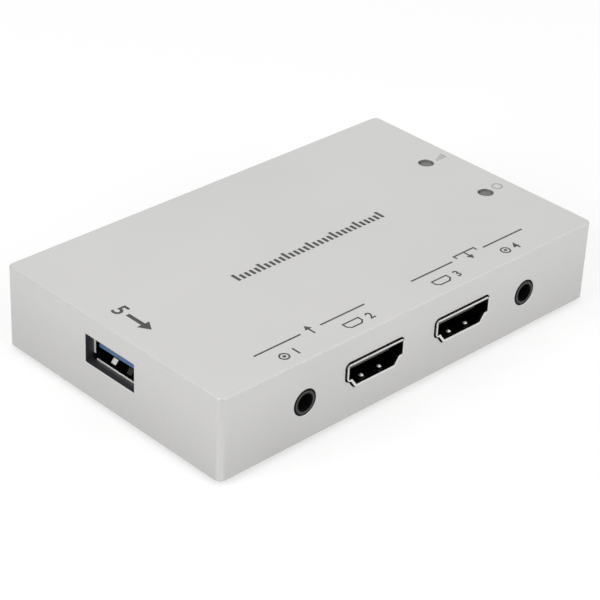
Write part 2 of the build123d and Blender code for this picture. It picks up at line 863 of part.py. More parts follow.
def jack_pins(x_centre):
    """Sleeve contact and the two fixed pins of an audio jack, all flat plates through the board."""
    with BuildPart() as pins:
        with BuildSketch(Plane.YZ.offset(x_centre + leaf_offset)):
            with Locations((tip_pin_y, (tail_end + jack_z) / 2)):
                Rectangle(pin_plate_width, jack_z - tail_end)
        extrude(amount=pin_plate_thickness / 2, both=True)
        with BuildSketch(Plane.YZ.offset(x_centre - leaf_offset)):
            with Locations((ring_pin_y, (tail_end + jack_z) / 2)):
                Rectangle(pin_plate_width, jack_z - tail_end)
        extrude(amount=pin_plate_thickness / 2, both=True)
        with BuildSketch(Plane.YZ.offset(x_centre - sleeve_plate_offset)):
            with Locations((sleeve_pin_y, (board_top + jack_z + sleeve_plate_height) / 2)):
                Rectangle(sleeve_plate_width, jack_z + sleeve_plate_height - board_top)
            with Locations((sleeve_pin_y, (tail_end + jack_z) / 2)):
                Rectangle(pin_plate_width, jack_z - tail_end)
        extrude(amount=pin_plate_thickness / 2, both=True)
    return pins


def jack_leaf(x_centre, side, pivot_depth, contact_depth):
    """Contact leaf of a jack: a bent strip on a root pin, bowed into the bore at its contact."""
    pivot_y = jack_front + pivot_depth
    contact_y = jack_front + contact_depth
    heading = 1 if contact_depth > pivot_depth else -1
    peak = plug_radius - leaf_intrusion + leaf_thickness / 2
    with BuildPart() as leaf:
        with BuildSketch(Plane.XY.offset(jack_z)):
            with BuildLine() as leaf_path:
                Polyline(
                    (x_centre + side * leaf_offset, pivot_y),
                    (x_centre + side * leaf_offset, contact_y - heading * leaf_ramp),
                    (x_centre + side * peak, contact_y),
                    (x_centre + side * (peak + leaf_lip_return), contact_y + heading * leaf_lip_length),
                )
            trace(leaf_path.line, line_width=leaf_thickness)
        extrude(amount=leaf_height / 2, both=True)
        with BuildSketch(Plane.XY.offset(jack_z)):
            with Locations((x_centre + side * leaf_offset, pivot_y)):
                Circle(pivot_radius)
        extrude(amount=spring_slot_height / 2 + pivot_reach, both=True)
    return leaf


def jack_body(x_centre, pins):
    """Moulded body of a jack: nozzle, bore, chamber, leaf slots, root holes and locating peg."""
    middle_y = (jack_front + jack_back) / 2
    leaf_runs = (
        (1, tip_pivot_depth, tip_contact_depth + leaf_lip_length + slot_end_gap),
        (-1, ring_contact_depth - leaf_lip_length - slot_end_gap, ring_pivot_depth),
    )
    with BuildPart() as body:
        with BuildSketch(Plane.XY.offset(board_top)):
            with Locations((x_centre, middle_y)):
                Rectangle(jack_width, jack_depth)
        extrude(amount=2 * jack_axis_height)
        chamfer(body.faces().sort_by(Axis.Z)[-1].edges(), jack_top_bevel)
        with BuildSketch(Plane.XZ.offset(case_width / 2)):
            with Locations((x_centre, jack_z)):
                Circle(nozzle_radius)
        extrude(amount=jack_top_bevel + jack_front + case_width / 2, dir=(0, 1, 0))
        chamfer(body.faces().sort_by(Axis.Y)[0].edges(), nozzle_edge_break)
        with BuildSketch(Plane.XZ.offset(case_width / 2)):
            with Locations((x_centre, jack_z)):
                Circle(bore_radius)
        extrude(amount=-guide_length, mode=Mode.SUBTRACT)
        with BuildSketch(Plane.XZ.offset(case_width / 2 - guide_length)):
            with Locations((x_centre, jack_z)):
                Circle(chamber_radius)
        extrude(
            amount=guide_length - case_width / 2 - jack_back + chamber_back_wall, mode=Mode.SUBTRACT
        )
        for side, near, far in leaf_runs:
            with BuildSketch(Plane.XY.offset(jack_z)):
                with Locations((x_centre + side * jack_width / 4, jack_front + (near + far) / 2)):
                    Rectangle(jack_width / 2, far - near)
            extrude(amount=spring_slot_height / 2, both=True, mode=Mode.SUBTRACT)
        with BuildSketch(Plane.XY.offset(jack_z)):
            with Locations(
                (x_centre + leaf_offset, jack_front + tip_pivot_depth),
                (x_centre - leaf_offset, jack_front + ring_pivot_depth),
            ):
                Circle(pivot_radius + pivot_clearance)
        extrude(
            amount=spring_slot_height / 2 + pivot_reach + pivot_end_gap, both=True, mode=Mode.SUBTRACT
        )
        with BuildSketch(Plane.XY.offset(board_top)):
            with Locations((x_centre, peg_y)):
                Circle(peg_radius)
        extrude(amount=-peg_length)
        add(pins.part, mode=Mode.SUBTRACT)
    return body


# Audio jacks: the same four pieces twice
for use, x_centre in zip(("in", "out"), jack_places):
    pins = jack_pins(x_centre)
    body = jack_body(x_centre, pins)
    tip_spring = jack_leaf(x_centre, 1, tip_pivot_depth, tip_contact_depth)
    ring_spring = jack_leaf(x_centre, -1, ring_pivot_depth, ring_contact_depth)
    pins.part.label = f"audio_{use}_pins"
    body.part.label = f"audio_{use}_body"
    tip_spring.part.label = f"audio_{use}_tip_spring"
    ring_spring.part.label = f"audio_{use}_ring_spring"
    export_step(pins.part, f"parts/audio_{use}_pins.step")
    export_step(body.part, f"parts/audio_{use}_body.step")
    export_step(tip_spring.part, f"parts/audio_{use}_tip_spring.step")
    export_step(ring_spring.part, f"parts/audio_{use}_ring_spring.step")

# Indicators: a light pipe hung in each hole of the ceiling, over its lamp on the board
for use, side in (("power", -1), ("signal", 1)):
    indicator_y = side * indicator_spacing / 2
    with BuildPart() as light_pipe:
        with BuildSketch(Plane.XY.offset(board_top + lamp_height + indicator_foot_gap)):
            with Locations((indicator_x, indicator_y)):
                Circle(indicator_hole_radius - indicator_fit_gap)
        extrude(
            amount=case_top - indicator_recess - board_top - lamp_height - indicator_foot_gap
        )
        with BuildSketch(Plane.XY.offset(ceiling_z)):
            with Locations((indicator_x, indicator_y)):
                Circle(indicator_collar_radius)
        extrude(amount=-indicator_collar_height)
    light_pipe.part.label = f"{use}_light_pipe"
    export_step(light_pipe.part, f"parts/{use}_light_pipe.step")
    with BuildPart() as lamp:
        with BuildSketch(Plane.XY.offset(board_top)):
            with Locations((indicator_x, indicator_y)):
                Rectangle(lamp_length, lamp_width)
        extrude(amount=lamp_height)
        with BuildSketch(Plane.XY.offset(board_top + lamp_height)):
            with Locations((indicator_x, indicator_y)):
                Circle(lamp_cup_radius)
        extrude(amount=-lamp_cup_depth, mode=Mode.SUBTRACT)
    lamp.part.label = f"{use}_lamp"
    export_step(lamp.part, f"parts/{use}_lamp.step")


def moulded_chip(shares, length, width, height):
    """Moulded package on the board, with bevelled upper edges and a dot at its first contact."""
    x, y = place_in_area(shares)
    with BuildPart() as chip:
        with BuildSketch(Plane.XY.offset(board_top)):
            with Locations((x, y)):
                Rectangle(length, width)
        extrude(amount=height)
        chamfer(chip.faces().sort_by(Axis.Z)[-1].edges(), chip_bevel)
        with BuildSketch(Plane.XY.offset(board_top + height)):
            with Locations((x - length / 2 + chip_dot_inset, y - width / 2 + chip_dot_inset)):
                Circle(chip_dot_radius)
        extrude(amount=-chip_dot_depth, mode=Mode.SUBTRACT)
    return chip


# Chips without leads
plain_chips = {
    "capture_chip": (
        capture_chip_shares,
        capture_chip_size,
        capture_chip_size,
        capture_chip_height,
    ),
    "controller_chip": (
        controller_chip_shares,
        controller_chip_size,
        controller_chip_size,
        controller_chip_height,
    ),
    "memory_chip_1": (
        memory_chip_1_shares,
        memory_chip_length,
        memory_chip_width,
        memory_chip_height,
    ),
    "memory_chip_2": (
        memory_chip_2_shares,
        memory_chip_length,
        memory_chip_width,
        memory_chip_height,
    ),
    "audio_chip": (audio_chip_shares, audio_chip_size, audio_chip_size, audio_chip_height),
}
for chip_name, chip_values in plain_chips.items():
    chip = moulded_chip(*chip_values)
    chip.part.label = chip_name
    export_step(chip.part, f"parts/{chip_name}.step")

# Receiver chip: leads on all four sides
receiver_x, receiver_y = place_in_area(receiver_chip_shares)
receiver_body = moulded_chip(
    receiver_chip_shares, receiver_chip_size, receiver_chip_size, receiver_chip_height
)
with BuildPart() as receiver_chip:
    with BuildSketch(Plane.XY.offset(board_top)):
        with Locations((receiver_x, receiver_y)):
            with GridLocations(receiver_lead_pitch, 0, receiver_lead_count, 1):
                Rectangle(receiver_lead_width, receiver_chip_size + 2 * receiver_lead_reach)
            with GridLocations(0, receiver_lead_pitch, 1, receiver_lead_count):
                Rectangle(receiver_chip_size + 2 * receiver_lead_reach, receiver_lead_width)
    extrude(amount=lead_thickness)
    add(receiver_body.part)
receiver_chip.part.label = "receiver_chip"
export_step(receiver_chip.part, "parts/receiver_chip.step")

# Flash chip: leads on two sides
flash_x, flash_y = place_in_area(flash_chip_shares)
flash_body = moulded_chip(
    flash_chip_shares, flash_chip_length, flash_chip_width, flash_chip_height
)
with BuildPart() as flash_chip:
    with BuildSketch(Plane.XY.offset(board_top)):
        with Locations((flash_x, flash_y)):
            with GridLocations(flash_lead_pitch, 0, flash_lead_count, 1):
                Rectangle(flash_lead_width, flash_chip_width + 2 * flash_lead_reach)
    extrude(amount=lead_thickness)
    add(flash_body.part)
flash_chip.part.label = "flash_chip"
export_step(flash_chip.part, "parts/flash_chip.step")

# Thermal tape and finned heatsink on the capture chip
capture_x, capture_y = place_in_area(capture_chip_shares)
tape_bottom = board_top + capture_chip_height
with BuildPart() as thermal_tape:
    with BuildSketch(Plane.XY.offset(tape_bottom)):
        with Locations((capture_x, capture_y)):
            Rectangle(heatsink_size, heatsink_size)
    extrude(amount=tape_thickness)
thermal_tape.part.label = "thermal_tape"
export_step(thermal_tape.part, "parts/thermal_tape.step")

heatsink_bottom = tape_bottom + tape_thickness
heatsink_height = ceiling_z - heatsink_headroom - heatsink_bottom
with BuildPart() as heatsink:
    with BuildSketch(Plane.XY.offset(heatsink_bottom)):
        with Locations((capture_x, capture_y)):
            Rectangle(heatsink_size, heatsink_size)
    extrude(amount=heatsink_base)
    with BuildSketch(Plane.XY.offset(heatsink_bottom)):
        with Locations((capture_x, capture_y)):
            with GridLocations(
                (heatsink_size - fin_thickness) / (fin_count - 1), 0, fin_count, 1
            ):
                Rectangle(fin_thickness, heatsink_size)
    extrude(amount=heatsink_height)
heatsink.part.label = "heatsink"
export_step(heatsink.part, "parts/heatsink.step")


def board_blocks(places, length, width, height):
    """Separate plain blocks that stand on the board at the given places."""
    with BuildPart() as blocks:
        with BuildSketch(Plane.XY.offset(board_top)):
            with Locations(*places):
                Rectangle(length, width)
        extrude(amount=height)
    return blocks


# Regulators: two flat packages at the row's start
regulator_chips = board_blocks(
    [row_place(number) for number in range(regulator_count)],
    regulator_length,
    regulator_width,
    regulator_height,
)
regulator_chips.part.label = "regulator_chips"
export_step(regulator_chips.part, "parts/regulator_chips.step")

# Inductors: moulded power inductors in the middle of the row
with BuildPart() as inductors:
    with BuildSketch(Plane.XY.offset(board_top)):
        with Locations(*[row_place(regulator_count + number) for number in range(inductor_count)]):
            RectangleRounded(inductor_size, inductor_size, inductor_corner_radius)
    extrude(amount=inductor_height)
    chamfer(inductors.faces().group_by(Axis.Z)[-1].edges(), inductor_bevel)
inductors.part.label = "inductors"
export_step(inductors.part, "parts/inductors.step")

# Can capacitors: the row's last three parts, each on a base with two cut corners
for number in range(can_count):
    can_place = row_place(regulator_count + inductor_count + number)
    with BuildPart() as can:
        with BuildSketch(Plane.XY.offset(board_top)):
            with Locations(can_place):
                Rectangle(can_base_size, can_base_size)
        extrude(amount=can_base_height)
        chamfer(can.edges().filter_by(Axis.Z).group_by(Axis.X)[-1], can_base_bevel)
        with BuildSketch(Plane.XY.offset(board_top)):
            with Locations(can_place):
                Circle(can_radius)
        extrude(amount=can_height)
    can.part.label = f"can_capacitor_{number + 1}"
    export_step(can.part, f"parts/can_capacitor_{number + 1}.step")

# Clock crystals: two sealed metal cans
for use, shares in (("video", video_crystal_shares), ("data", data_crystal_shares)):
    with BuildPart() as crystal:
        with BuildSketch(Plane.XY.offset(board_top)):
            with Locations(place_in_area(shares)):
                RectangleRounded(crystal_length, crystal_width, crystal_corner_radius)
        extrude(amount=crystal_height)
    crystal.part.label = f"{use}_crystal"
    export_step(crystal.part, f"parts/{use}_crystal.step")

# Chip capacitors: a row along each side of the capture chip that runs along Y
capacitor_offset = capture_chip_size / 2 + chip_capacitor_gap
chip_capacitors = board_blocks(
    [
        (
            capture_x + side * capacitor_offset,
            capture_y + (number - (chip_capacitor_count - 1) / 2) * chip_capacitor_pitch,
        )
        for side in sides
        for number in range(chip_capacitor_count)
    ],
    chip_capacitor_length,
    chip_capacitor_width,
    chip_capacitor_height,
)
chip_capacitors.part.label = "chip_capacitors"
export_step(chip_capacitors.part, "parts/chip_capacitors.step")

# Series resistors and protection chips: a row of each behind both video sockets
row_start = video_mouth + video_depth + upper_pin_drop_offset + pin_foot
resistors = board_blocks(
    [
        (x + (number - (resistor_count - 1) / 2) * resistor_pitch, row_start + resistor_gap)
        for x in video_places
        for number in range(resistor_count)
    ],
    resistor_width,
    resistor_length,
    resistor_height,
)
resistors.part.label = "resistors"
export_step(resistors.part, "parts/resistors.step")

protection_chips = board_blocks(
    [
        (x + side * protection_pitch / 2, row_start + protection_gap)
        for x in video_places
        for side in sides
    ],
    protection_length,
    protection_width,
    protection_height,
)
protection_chips.part.label = "protection_chips"
export_step(protection_chips.part, "parts/protection_chips.step")
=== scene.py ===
import math

import bmesh
import bpy
import numpy as np
from mathutils import Matrix, Vector


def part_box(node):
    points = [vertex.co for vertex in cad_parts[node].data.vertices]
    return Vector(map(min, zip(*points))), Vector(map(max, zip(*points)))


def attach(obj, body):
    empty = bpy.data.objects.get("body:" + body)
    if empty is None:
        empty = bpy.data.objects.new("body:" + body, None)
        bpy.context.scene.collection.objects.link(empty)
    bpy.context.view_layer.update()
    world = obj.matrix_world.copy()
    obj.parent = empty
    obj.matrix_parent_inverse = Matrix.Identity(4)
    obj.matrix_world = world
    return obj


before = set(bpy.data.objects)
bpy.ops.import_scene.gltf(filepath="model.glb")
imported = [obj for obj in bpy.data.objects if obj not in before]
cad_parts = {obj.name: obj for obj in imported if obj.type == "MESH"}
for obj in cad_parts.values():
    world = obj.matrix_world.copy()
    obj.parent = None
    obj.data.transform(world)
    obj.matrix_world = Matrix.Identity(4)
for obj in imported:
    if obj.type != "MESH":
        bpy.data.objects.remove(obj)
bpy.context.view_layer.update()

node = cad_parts
MM = 0.001

# Camera. A long lens looks down on the box from its left front corner. Its place, its
# angles and its length were worked out from the seven corners that the photograph shows.
camera_place = Vector((-259.654, -257.448, 225.858)) * MM
camera_azimuth = math.radians(-45.0938)
camera_elevation = math.radians(31.1041)
camera_roll = math.radians(2.6345)
picture_width = 600
lens_in_pixels = 2151.994
film_width = 36.0
nearest_seen, farthest_seen = 0.01, 20.0

back = Vector(
    (
        math.sin(camera_azimuth) * math.cos(camera_elevation),
        -math.cos(camera_azimuth) * math.cos(camera_elevation),
        math.sin(camera_elevation),
    )
)
level_right = Vector((0, 0, 1)).cross(back).normalized()
level_up = back.cross(level_right)
right = level_right * math.cos(camera_roll) + level_up * math.sin(camera_roll)
up = back.cross(right)
facing = Matrix((right, up, back)).transposed().to_4x4()
camera = bpy.data.objects.new("photo_camera", bpy.data.cameras.new("photo_camera"))
bpy.context.scene.collection.objects.link(camera)
camera.matrix_world = Matrix.Translation(camera_place) @ facing
camera.data.sensor_width = film_width
camera.data.lens = lens_in_pixels * film_width / picture_width
camera.data.clip_start = nearest_seen
camera.data.clip_end = farthest_seen
bpy.context.scene.camera = camera
bpy.context.scene.view_settings.view_transform = "Standard"

# Studio. A white sweep without a seam: the floor paper keeps the box's shadow, and the camera
# and glossy surfaces see it and the air round it as white. Three soft boxes light the object.
floor_half_width = 4.0
floor_corners = ((-1, -1), (1, -1), (1, 1), (-1, 1))
floor_paper = 0.80
floor_lift = 0.42
sky_for_light = 0.45
sky_seen = 1.0


def seen_directly(tree):
    """1 for rays that come from the camera, from gloss or through glass, and 0 for the rest."""
    path = tree.nodes.new("ShaderNodeLightPath")
    seen = path.outputs["Is Camera Ray"]
    for kind in ("Is Glossy Ray", "Is Transmission Ray"):
        either = tree.nodes.new("ShaderNodeMath")
        either.operation = "MAXIMUM"
        tree.links.new(seen, either.inputs[0])
        tree.links.new(path.outputs[kind], either.inputs[1])
        seen = either.outputs[0]
    return seen


world = bpy.data.worlds.new("white_sweep")
bpy.context.scene.world = world
world.use_nodes = True
sky_tree = world.node_tree
sky = sky_tree.nodes["Background"]
sky.inputs["Color"].default_value = (1, 1, 1, 1)
sky_level = sky_tree.nodes.new("ShaderNodeMapRange")
sky_level.inputs["To Min"].default_value = sky_for_light
sky_level.inputs["To Max"].default_value = sky_seen
sky_tree.links.new(seen_directly(sky_tree), sky_level.inputs["Value"])
sky_tree.links.new(sky_level.outputs["Result"], sky.inputs["Strength"])

floor_finish = bpy.data.materials.new("floor_paper")
floor_finish.use_nodes = True
floor_tree = floor_finish.node_tree
floor_shader = floor_tree.nodes["Principled BSDF"]
floor_shader.inputs["Base Color"].default_value = (floor_paper, floor_paper, floor_paper, 1)
floor_shader.inputs["Roughness"].default_value = 1.0
floor_shader.inputs["Specular IOR Level"].default_value = 0.0
floor_shader.inputs["Emission Color"].default_value = (1, 1, 1, 1)
floor_glow = floor_tree.nodes.new("ShaderNodeMath")
floor_glow.operation = "MULTIPLY"
floor_glow.inputs[1].default_value = floor_lift
floor_tree.links.new(seen_directly(floor_tree), floor_glow.inputs[0])
floor_tree.links.new(floor_glow.outputs[0], floor_shader.inputs["Emission Strength"])
floor_mesh = bpy.data.meshes.new("floor")
floor_mesh.from_pydata(
    [(x * floor_half_width, y * floor_half_width, 0.0) for x, y in floor_corners],
    [],
    [(0, 1, 2, 3)],
)
floor_mesh.materials.append(floor_finish)
floor = bpy.data.objects.new("floor", floor_mesh)
bpy.context.scene.collection.objects.link(floor)


def soft_box(name, place, width, watts):
    """A square lamp that faces the middle of the box."""
    lamp = bpy.data.lights.new(name, "AREA")
    lamp.shape = "SQUARE"
    lamp.size = width
    lamp.energy = watts
    holder = bpy.data.objects.new(name, lamp)
    bpy.context.scene.collection.objects.link(holder)
    holder.location = place
    holder.rotation_mode = "QUATERNION"
    holder.rotation_quaternion = Vector(place).to_track_quat("Z", "Y")
    holder.visible_camera = False


soft_box("overhead_box", place=(-0.05, 0.20, 1.10), width=0.90, watts=1.4)
soft_box("left_box", place=(-0.66, 0.12, 0.34), width=0.50, watts=1.45)
soft_box("front_box", place=(0.36, -0.90, 0.42), width=1.30, watts=4.2)

# Upper case. One deep cup machined from aluminium makes the top and the four sides. It is
# bead blasted and clear anodised. Its colour holds painted shade: the cut walls of its windows
# and holes are painted near black and not metallic, the sides darken towards the bottom, and a
# band of the top rim is darkened to dim its highlight.
case_low, case_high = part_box("upper_case")
case_silver, case_silver_shade = (0.630, 0.626, 0.614), (0.605, 0.602, 0.592)
case_silver_painted_foot_shade = (0.545, 0.542, 0.533)
painted_foot_shade_start = 3 * MM
corner_reach, corner_full = 1.30 * MM, 0.75 * MM
rim_painted_shade = (0.520, 0.517, 0.508)
rim_start, rim_full, rim_top, rim_end = 0.40 * MM, 0.26 * MM, 0.07 * MM, 0.03 * MM
cut_wall_painted_shade = (0.036, 0.035, 0.040)
cut_wall_start, cut_wall_end = 0.10 * MM, 2.05 * MM
end_window_reach, front_windows_reach = 10 * MM, 36 * MM
window_margin = 1 * MM
cloud_low, cloud_high = 0.3, 0.7
cloud_detail = 2.0


def shader_of(finish):
    """The finish's one shader."""
    return finish.node_tree.nodes["Principled BSDF"]


def plain_finish(name, **shader_values):
    """A new material with one shader. Each value goes on the shader's own socket of that name."""
    finish = bpy.data.materials.new(name)
    finish.use_nodes = True
    for socket, value in shader_values.items():
        shader_of(finish).inputs[socket.replace("_", " ")].default_value = value
    return finish


def add(finish, kind, **settings):
    """A new node in the finish, with the settings given."""
    made = finish.node_tree.nodes.new("ShaderNode" + kind)
    for setting, value in settings.items():
        setattr(made, setting, value)
    return made


def join(finish, start, end):
    """A link from one socket to another."""
    finish.node_tree.links.new(start, end)


def feed(finish, source, socket):
    """From here on the source drives the shader's socket of that name."""
    join(finish, source, shader_of(finish).inputs[socket])


def fed_by(finish, socket):
    """What drives the shader's socket of that name so far."""
    return shader_of(finish).inputs[socket].links[0].from_socket


def piece_place(finish, stretch=(1, 1, 1)):
    """The place on the piece, in metres, stretched."""
    place = add(finish, "TexCoord")
    mapping = add(finish, "Mapping")
    mapping.inputs["Scale"].default_value = stretch
    join(finish, place.outputs["Object"], mapping.inputs["Vector"])
    return mapping.outputs["Vector"]


def place_parts(finish):
    """The place on the piece as three numbers: x, y and z, in metres."""
    parts = add(finish, "SeparateXYZ")
    join(finish, piece_place(finish), parts.inputs[0])
    return parts.outputs


def measure(finish, operation, *values):
    """One step of arithmetic on sockets or numbers."""
    step = add(finish, "Math", operation=operation)
    for socket, value in zip(step.inputs, values):
        if isinstance(value, (int, float)):
            socket.default_value = value
        else:
            join(finish, value, socket)
    return step.outputs[0]


def both(finish, first, second):
    """The product of two shares: 1 where both are 1, and 0 where either is 0."""
    return measure(finish, "MULTIPLY", first, second)


def all_but(finish, share):
    """One minus the share."""
    return measure(finish, "SUBTRACT", 1.0, share)


def inside_span(finish, value, low, high):
    """1 where the value lies between low and high, else 0."""
    above = measure(finish, "GREATER_THAN", value, low)
    return both(finish, above, measure(finish, "LESS_THAN", value, high))


def stretched(finish, value, low, high, start=cloud_low, end=cloud_high):
    """The value carried from the span start to end over to the span low to high, and clamped."""
    spread = add(finish, "MapRange")
    spread.inputs["From Min"].default_value = start
    spread.inputs["From Max"].default_value = end
    spread.inputs["To Min"].default_value = low
    spread.inputs["To Max"].default_value = high
    join(finish, value, spread.inputs["Value"])
    return spread.outputs["Result"]


def ramp(finish, value, start, end):
    """0 up to the start, 1 from the end on, and an even rise between. The end may be lower."""
    return stretched(finish, value, 0, 1, start, end)


def speckle(finish, size, place):
    """Cloudy noise, from 0 to 1, whose lumps are about size metres across. Its scale is one
    over twice the size."""
    cloud = add(finish, "TexNoise")
    cloud.inputs["Scale"].default_value = 1 / (2 * size)
    cloud.inputs["Detail"].default_value = cloud_detail
    join(finish, place, cloud.inputs["Vector"])
    return cloud.outputs["Fac"]


def mixed_tone(finish, share, tone, other_tone):
    """A colour between two tones, each of which is three numbers or a colour socket."""
    mix = add(finish, "Mix", data_type="RGBA")
    join(finish, share, mix.inputs["Factor"])
    for socket, colour in ((mix.inputs["A"], tone), (mix.inputs["B"], other_tone)):
        if isinstance(colour, tuple):
            socket.default_value = (*colour, 1)
        else:
            join(finish, colour, socket)
    return mix.outputs["Result"]


def lay_over(finish, share, tone):
    """The tone goes over the colour that the finish has so far, as strongly as the share says."""
    so_far = fed_by(finish, "Base Color")
    feed(finish, mixed_tone(finish, share, so_far, tone), "Base Color")


def dented(finish, height, depth):
    """Bump of the given depth in metres, on the shader's normal."""
    bump = add(finish, "Bump")
    bump.inputs["Distance"].default_value = depth
    join(finish, height, bump.inputs["Height"])
    feed(finish, bump.outputs["Normal"], "Normal")


def worked_finish(name, tones, patch, gloss, grain, depth, stretch=(1, 1, 1), **shader_values):
    """A finish whose colour drifts between two tones in patches, and whose fine grain sets its
    roughness, between the two gloss numbers, and its dents. Patch, grain and depth are metres."""
    finish = plain_finish(name, **shader_values)
    place = piece_place(finish, stretch)
    drift = stretched(finish, speckle(finish, patch, place), 0, 1)
    feed(finish, mixed_tone(finish, drift, *tones), "Base Color")
    fine = speckle(finish, grain, place)
    feed(finish, stretched(finish, fine, *gloss), "Roughness")
    dented(finish, fine, depth)
    return finish


def coat(finish, *names):
    """The finish goes on these CAD nodes."""
    for name in names:
        for held in node[name].material_slots:
            held.material = finish


blasted_silver = worked_finish(
    "blasted_silver",
    tones=(case_silver, case_silver_shade),
    patch=18 * MM,
    gloss=(0.46, 0.58),
    grain=0.14 * MM,
    depth=0.004 * MM,
    Metallic=1.0,
)
x_place, y_place, z_place = place_parts(blasted_silver)
end_wall = both(
    blasted_silver,
    inside_span(blasted_silver, x_place, case_low.x + cut_wall_start, case_low.x + cut_wall_end),
    inside_span(blasted_silver, y_place, -end_window_reach, end_window_reach),
)
front_wall = both(
    blasted_silver,
    inside_span(blasted_silver, y_place, case_low.y + cut_wall_start, case_low.y + cut_wall_end),
    inside_span(blasted_silver, x_place, -front_windows_reach, front_windows_reach),
)
# Painted shade: the cut walls of the end and front windows, in the wall's thickness, are painted
# near black and lose their metal.
painted_cut_wall_shade = both(
    blasted_silver,
    measure(blasted_silver, "MAXIMUM", end_wall, front_wall),
    inside_span(blasted_silver, z_place, case_low.z + window_margin, case_high.z - window_margin),
)
from_middle_x = measure(blasted_silver, "ABSOLUTE", x_place)
from_middle_y = measure(blasted_silver, "ABSOLUTE", y_place)
corner = measure(
    blasted_silver,
    "MINIMUM",
    ramp(blasted_silver, from_middle_x, case_high.x - corner_reach, case_high.x - corner_full),
    ramp(blasted_silver, from_middle_y, case_high.y - corner_reach, case_high.y - corner_full),
)
# Painted shade: the sides grow darker towards the bottom; this painted shade stops short of the
# vertical corners, which keep the lighter tone.
painted_foot_shade = both(
    blasted_silver,
    ramp(blasted_silver, z_place, case_high.z - painted_foot_shade_start, case_low.z),
    all_but(blasted_silver, corner),
)
# Painted shade: a band of the rounded top rim is darkened to dim the highlight that it catches.
rim = both(
    blasted_silver,
    ramp(blasted_silver, z_place, case_high.z - rim_start, case_high.z - rim_full),
    ramp(blasted_silver, z_place, case_high.z - rim_end, case_high.z - rim_top),
)
lay_over(blasted_silver, painted_foot_shade, case_silver_painted_foot_shade)
lay_over(blasted_silver, rim, rim_painted_shade)
lay_over(blasted_silver, painted_cut_wall_shade, cut_wall_painted_shade)
feed(blasted_silver, all_but(blasted_silver, painted_cut_wall_shade), "Metallic")
coat(blasted_silver, "upper_case")

# Printed marks. Dark grey ink, two hundredths of a millimetre thick, screened on the top:
# rules and plain numerals by the ports, a row of ticks in the middle, and faint marks by the
# two indicator windows. Their outlines are worked out in millimetres.
ink_thickness, ink_sink = 0.02, 0.004
ink_level = case_high.z / MM - ink_sink
merge_distance = 0.0005
quarter_turn = math.pi / 2
circle_sides, dot_sides = 40, 20
numeral_weight = 0.018
numeral_smoothness = 6
numeral_depth = 0.5


def ink_stroke(path, width, closed=False):
    """A flat band along a path of straight runs. At each point the band's edges stand off by
    half the width along the mitre, which is the sum of the side directions of the two runs over
    one plus their dot product. Each section has four corners: low, high, high and low."""
    path = np.asarray(path, float)
    runs = (np.roll(path, -1, 0) if closed else path[1:]) - (path if closed else path[:-1])
    runs /= np.linalg.norm(runs, axis=1, keepdims=True)
    sides = np.stack([-runs[:, 1], runs[:, 0]], 1)
    before = np.roll(sides, 1, 0) if closed else np.vstack([sides[:1], sides])
    after = sides if closed else np.vstack([sides, sides[-1:]])
    mitre = (before + after) / (1 + (before * after).sum(1, keepdims=True)) * width / 2
    flat = np.stack([path + mitre, path + mitre, path - mitre, path - mitre], 1)
    height = np.broadcast_to(np.array([0.0, 1.0, 1.0, 0.0])[None, :, None], (len(path), 4, 1))
    points = np.concatenate([flat, height], 2).reshape(-1, 3)
    start = np.arange(len(path) if closed else len(path) - 1)[:, None] * 4
    step = np.arange(4)[None, :]
    turn = (step + 1) % 4
    ahead = (start + 4) % (4 * len(path))
    walls = np.stack([start + step, start + turn, ahead + turn, ahead + step], 2)
    faces = walls.reshape(-1, 4).tolist()
    if not closed:
        last = 4 * (len(path) - 1)
        faces += [[3, 2, 1, 0], [last, last + 1, last + 2, last + 3]]
    return points, faces


def ink_patch(outline):
    """A flat filled patch with the given outline, counter-clockwise: a low and a high face with
    the outline's own corners, and a wall between them."""
    outline = np.asarray(outline, float)
    count = len(outline)
    low = np.column_stack([outline, np.zeros(count)])
    high = np.column_stack([outline, np.ones(count)])
    here = np.arange(count)
    after = (here + 1) % count
    walls = np.stack([here, after, after + count, here + count], 1).tolist()
    return np.vstack([low, high]), walls + [here[::-1].tolist(), (here + count).tolist()]


def round_path(x, y, radius, count=circle_sides):
    """Points round a circle, counter-clockwise."""
    angle = np.arange(count) * 2 * math.pi / count
    return np.stack([x + radius * np.cos(angle), y + radius * np.sin(angle)], 1)


def numeral(text, height, x, y, turn=0.0):
    """A plain numeral of the given height, centred on x, y and turned. It is made a mesh first,
    and its own height, width and thickness are then scaled as arrays."""
    words = bpy.data.curves.new("numeral", "FONT")
    words.body = text
    words.extrude = numeral_depth
    words.offset = numeral_weight
    words.resolution_u = numeral_smoothness
    holder = bpy.data.objects.new("numeral", words)
    bpy.context.scene.collection.objects.link(holder)
    bpy.context.view_layer.update()
    settled = holder.evaluated_get(bpy.context.evaluated_depsgraph_get())
    solid = bpy.data.meshes.new_from_object(settled)
    points = np.empty(len(solid.vertices) * 3)
    solid.vertices.foreach_get("co", points)
    points = points.reshape(-1, 3)
    faces = [list(face.vertices) for face in solid.polygons]
    bpy.data.objects.remove(holder)
    low, high = points.min(0), points.max(0)
    flat = (points[:, :2] - (low[:2] + high[:2]) / 2) * height / (high[1] - low[1])
    cos, sin = math.cos(turn), math.sin(turn)
    flat = flat @ np.array([[cos, sin], [-sin, cos]]) + (x, y)
    return np.column_stack([flat, (points[:, 2] - low[2]) / (high[2] - low[2])]), faces


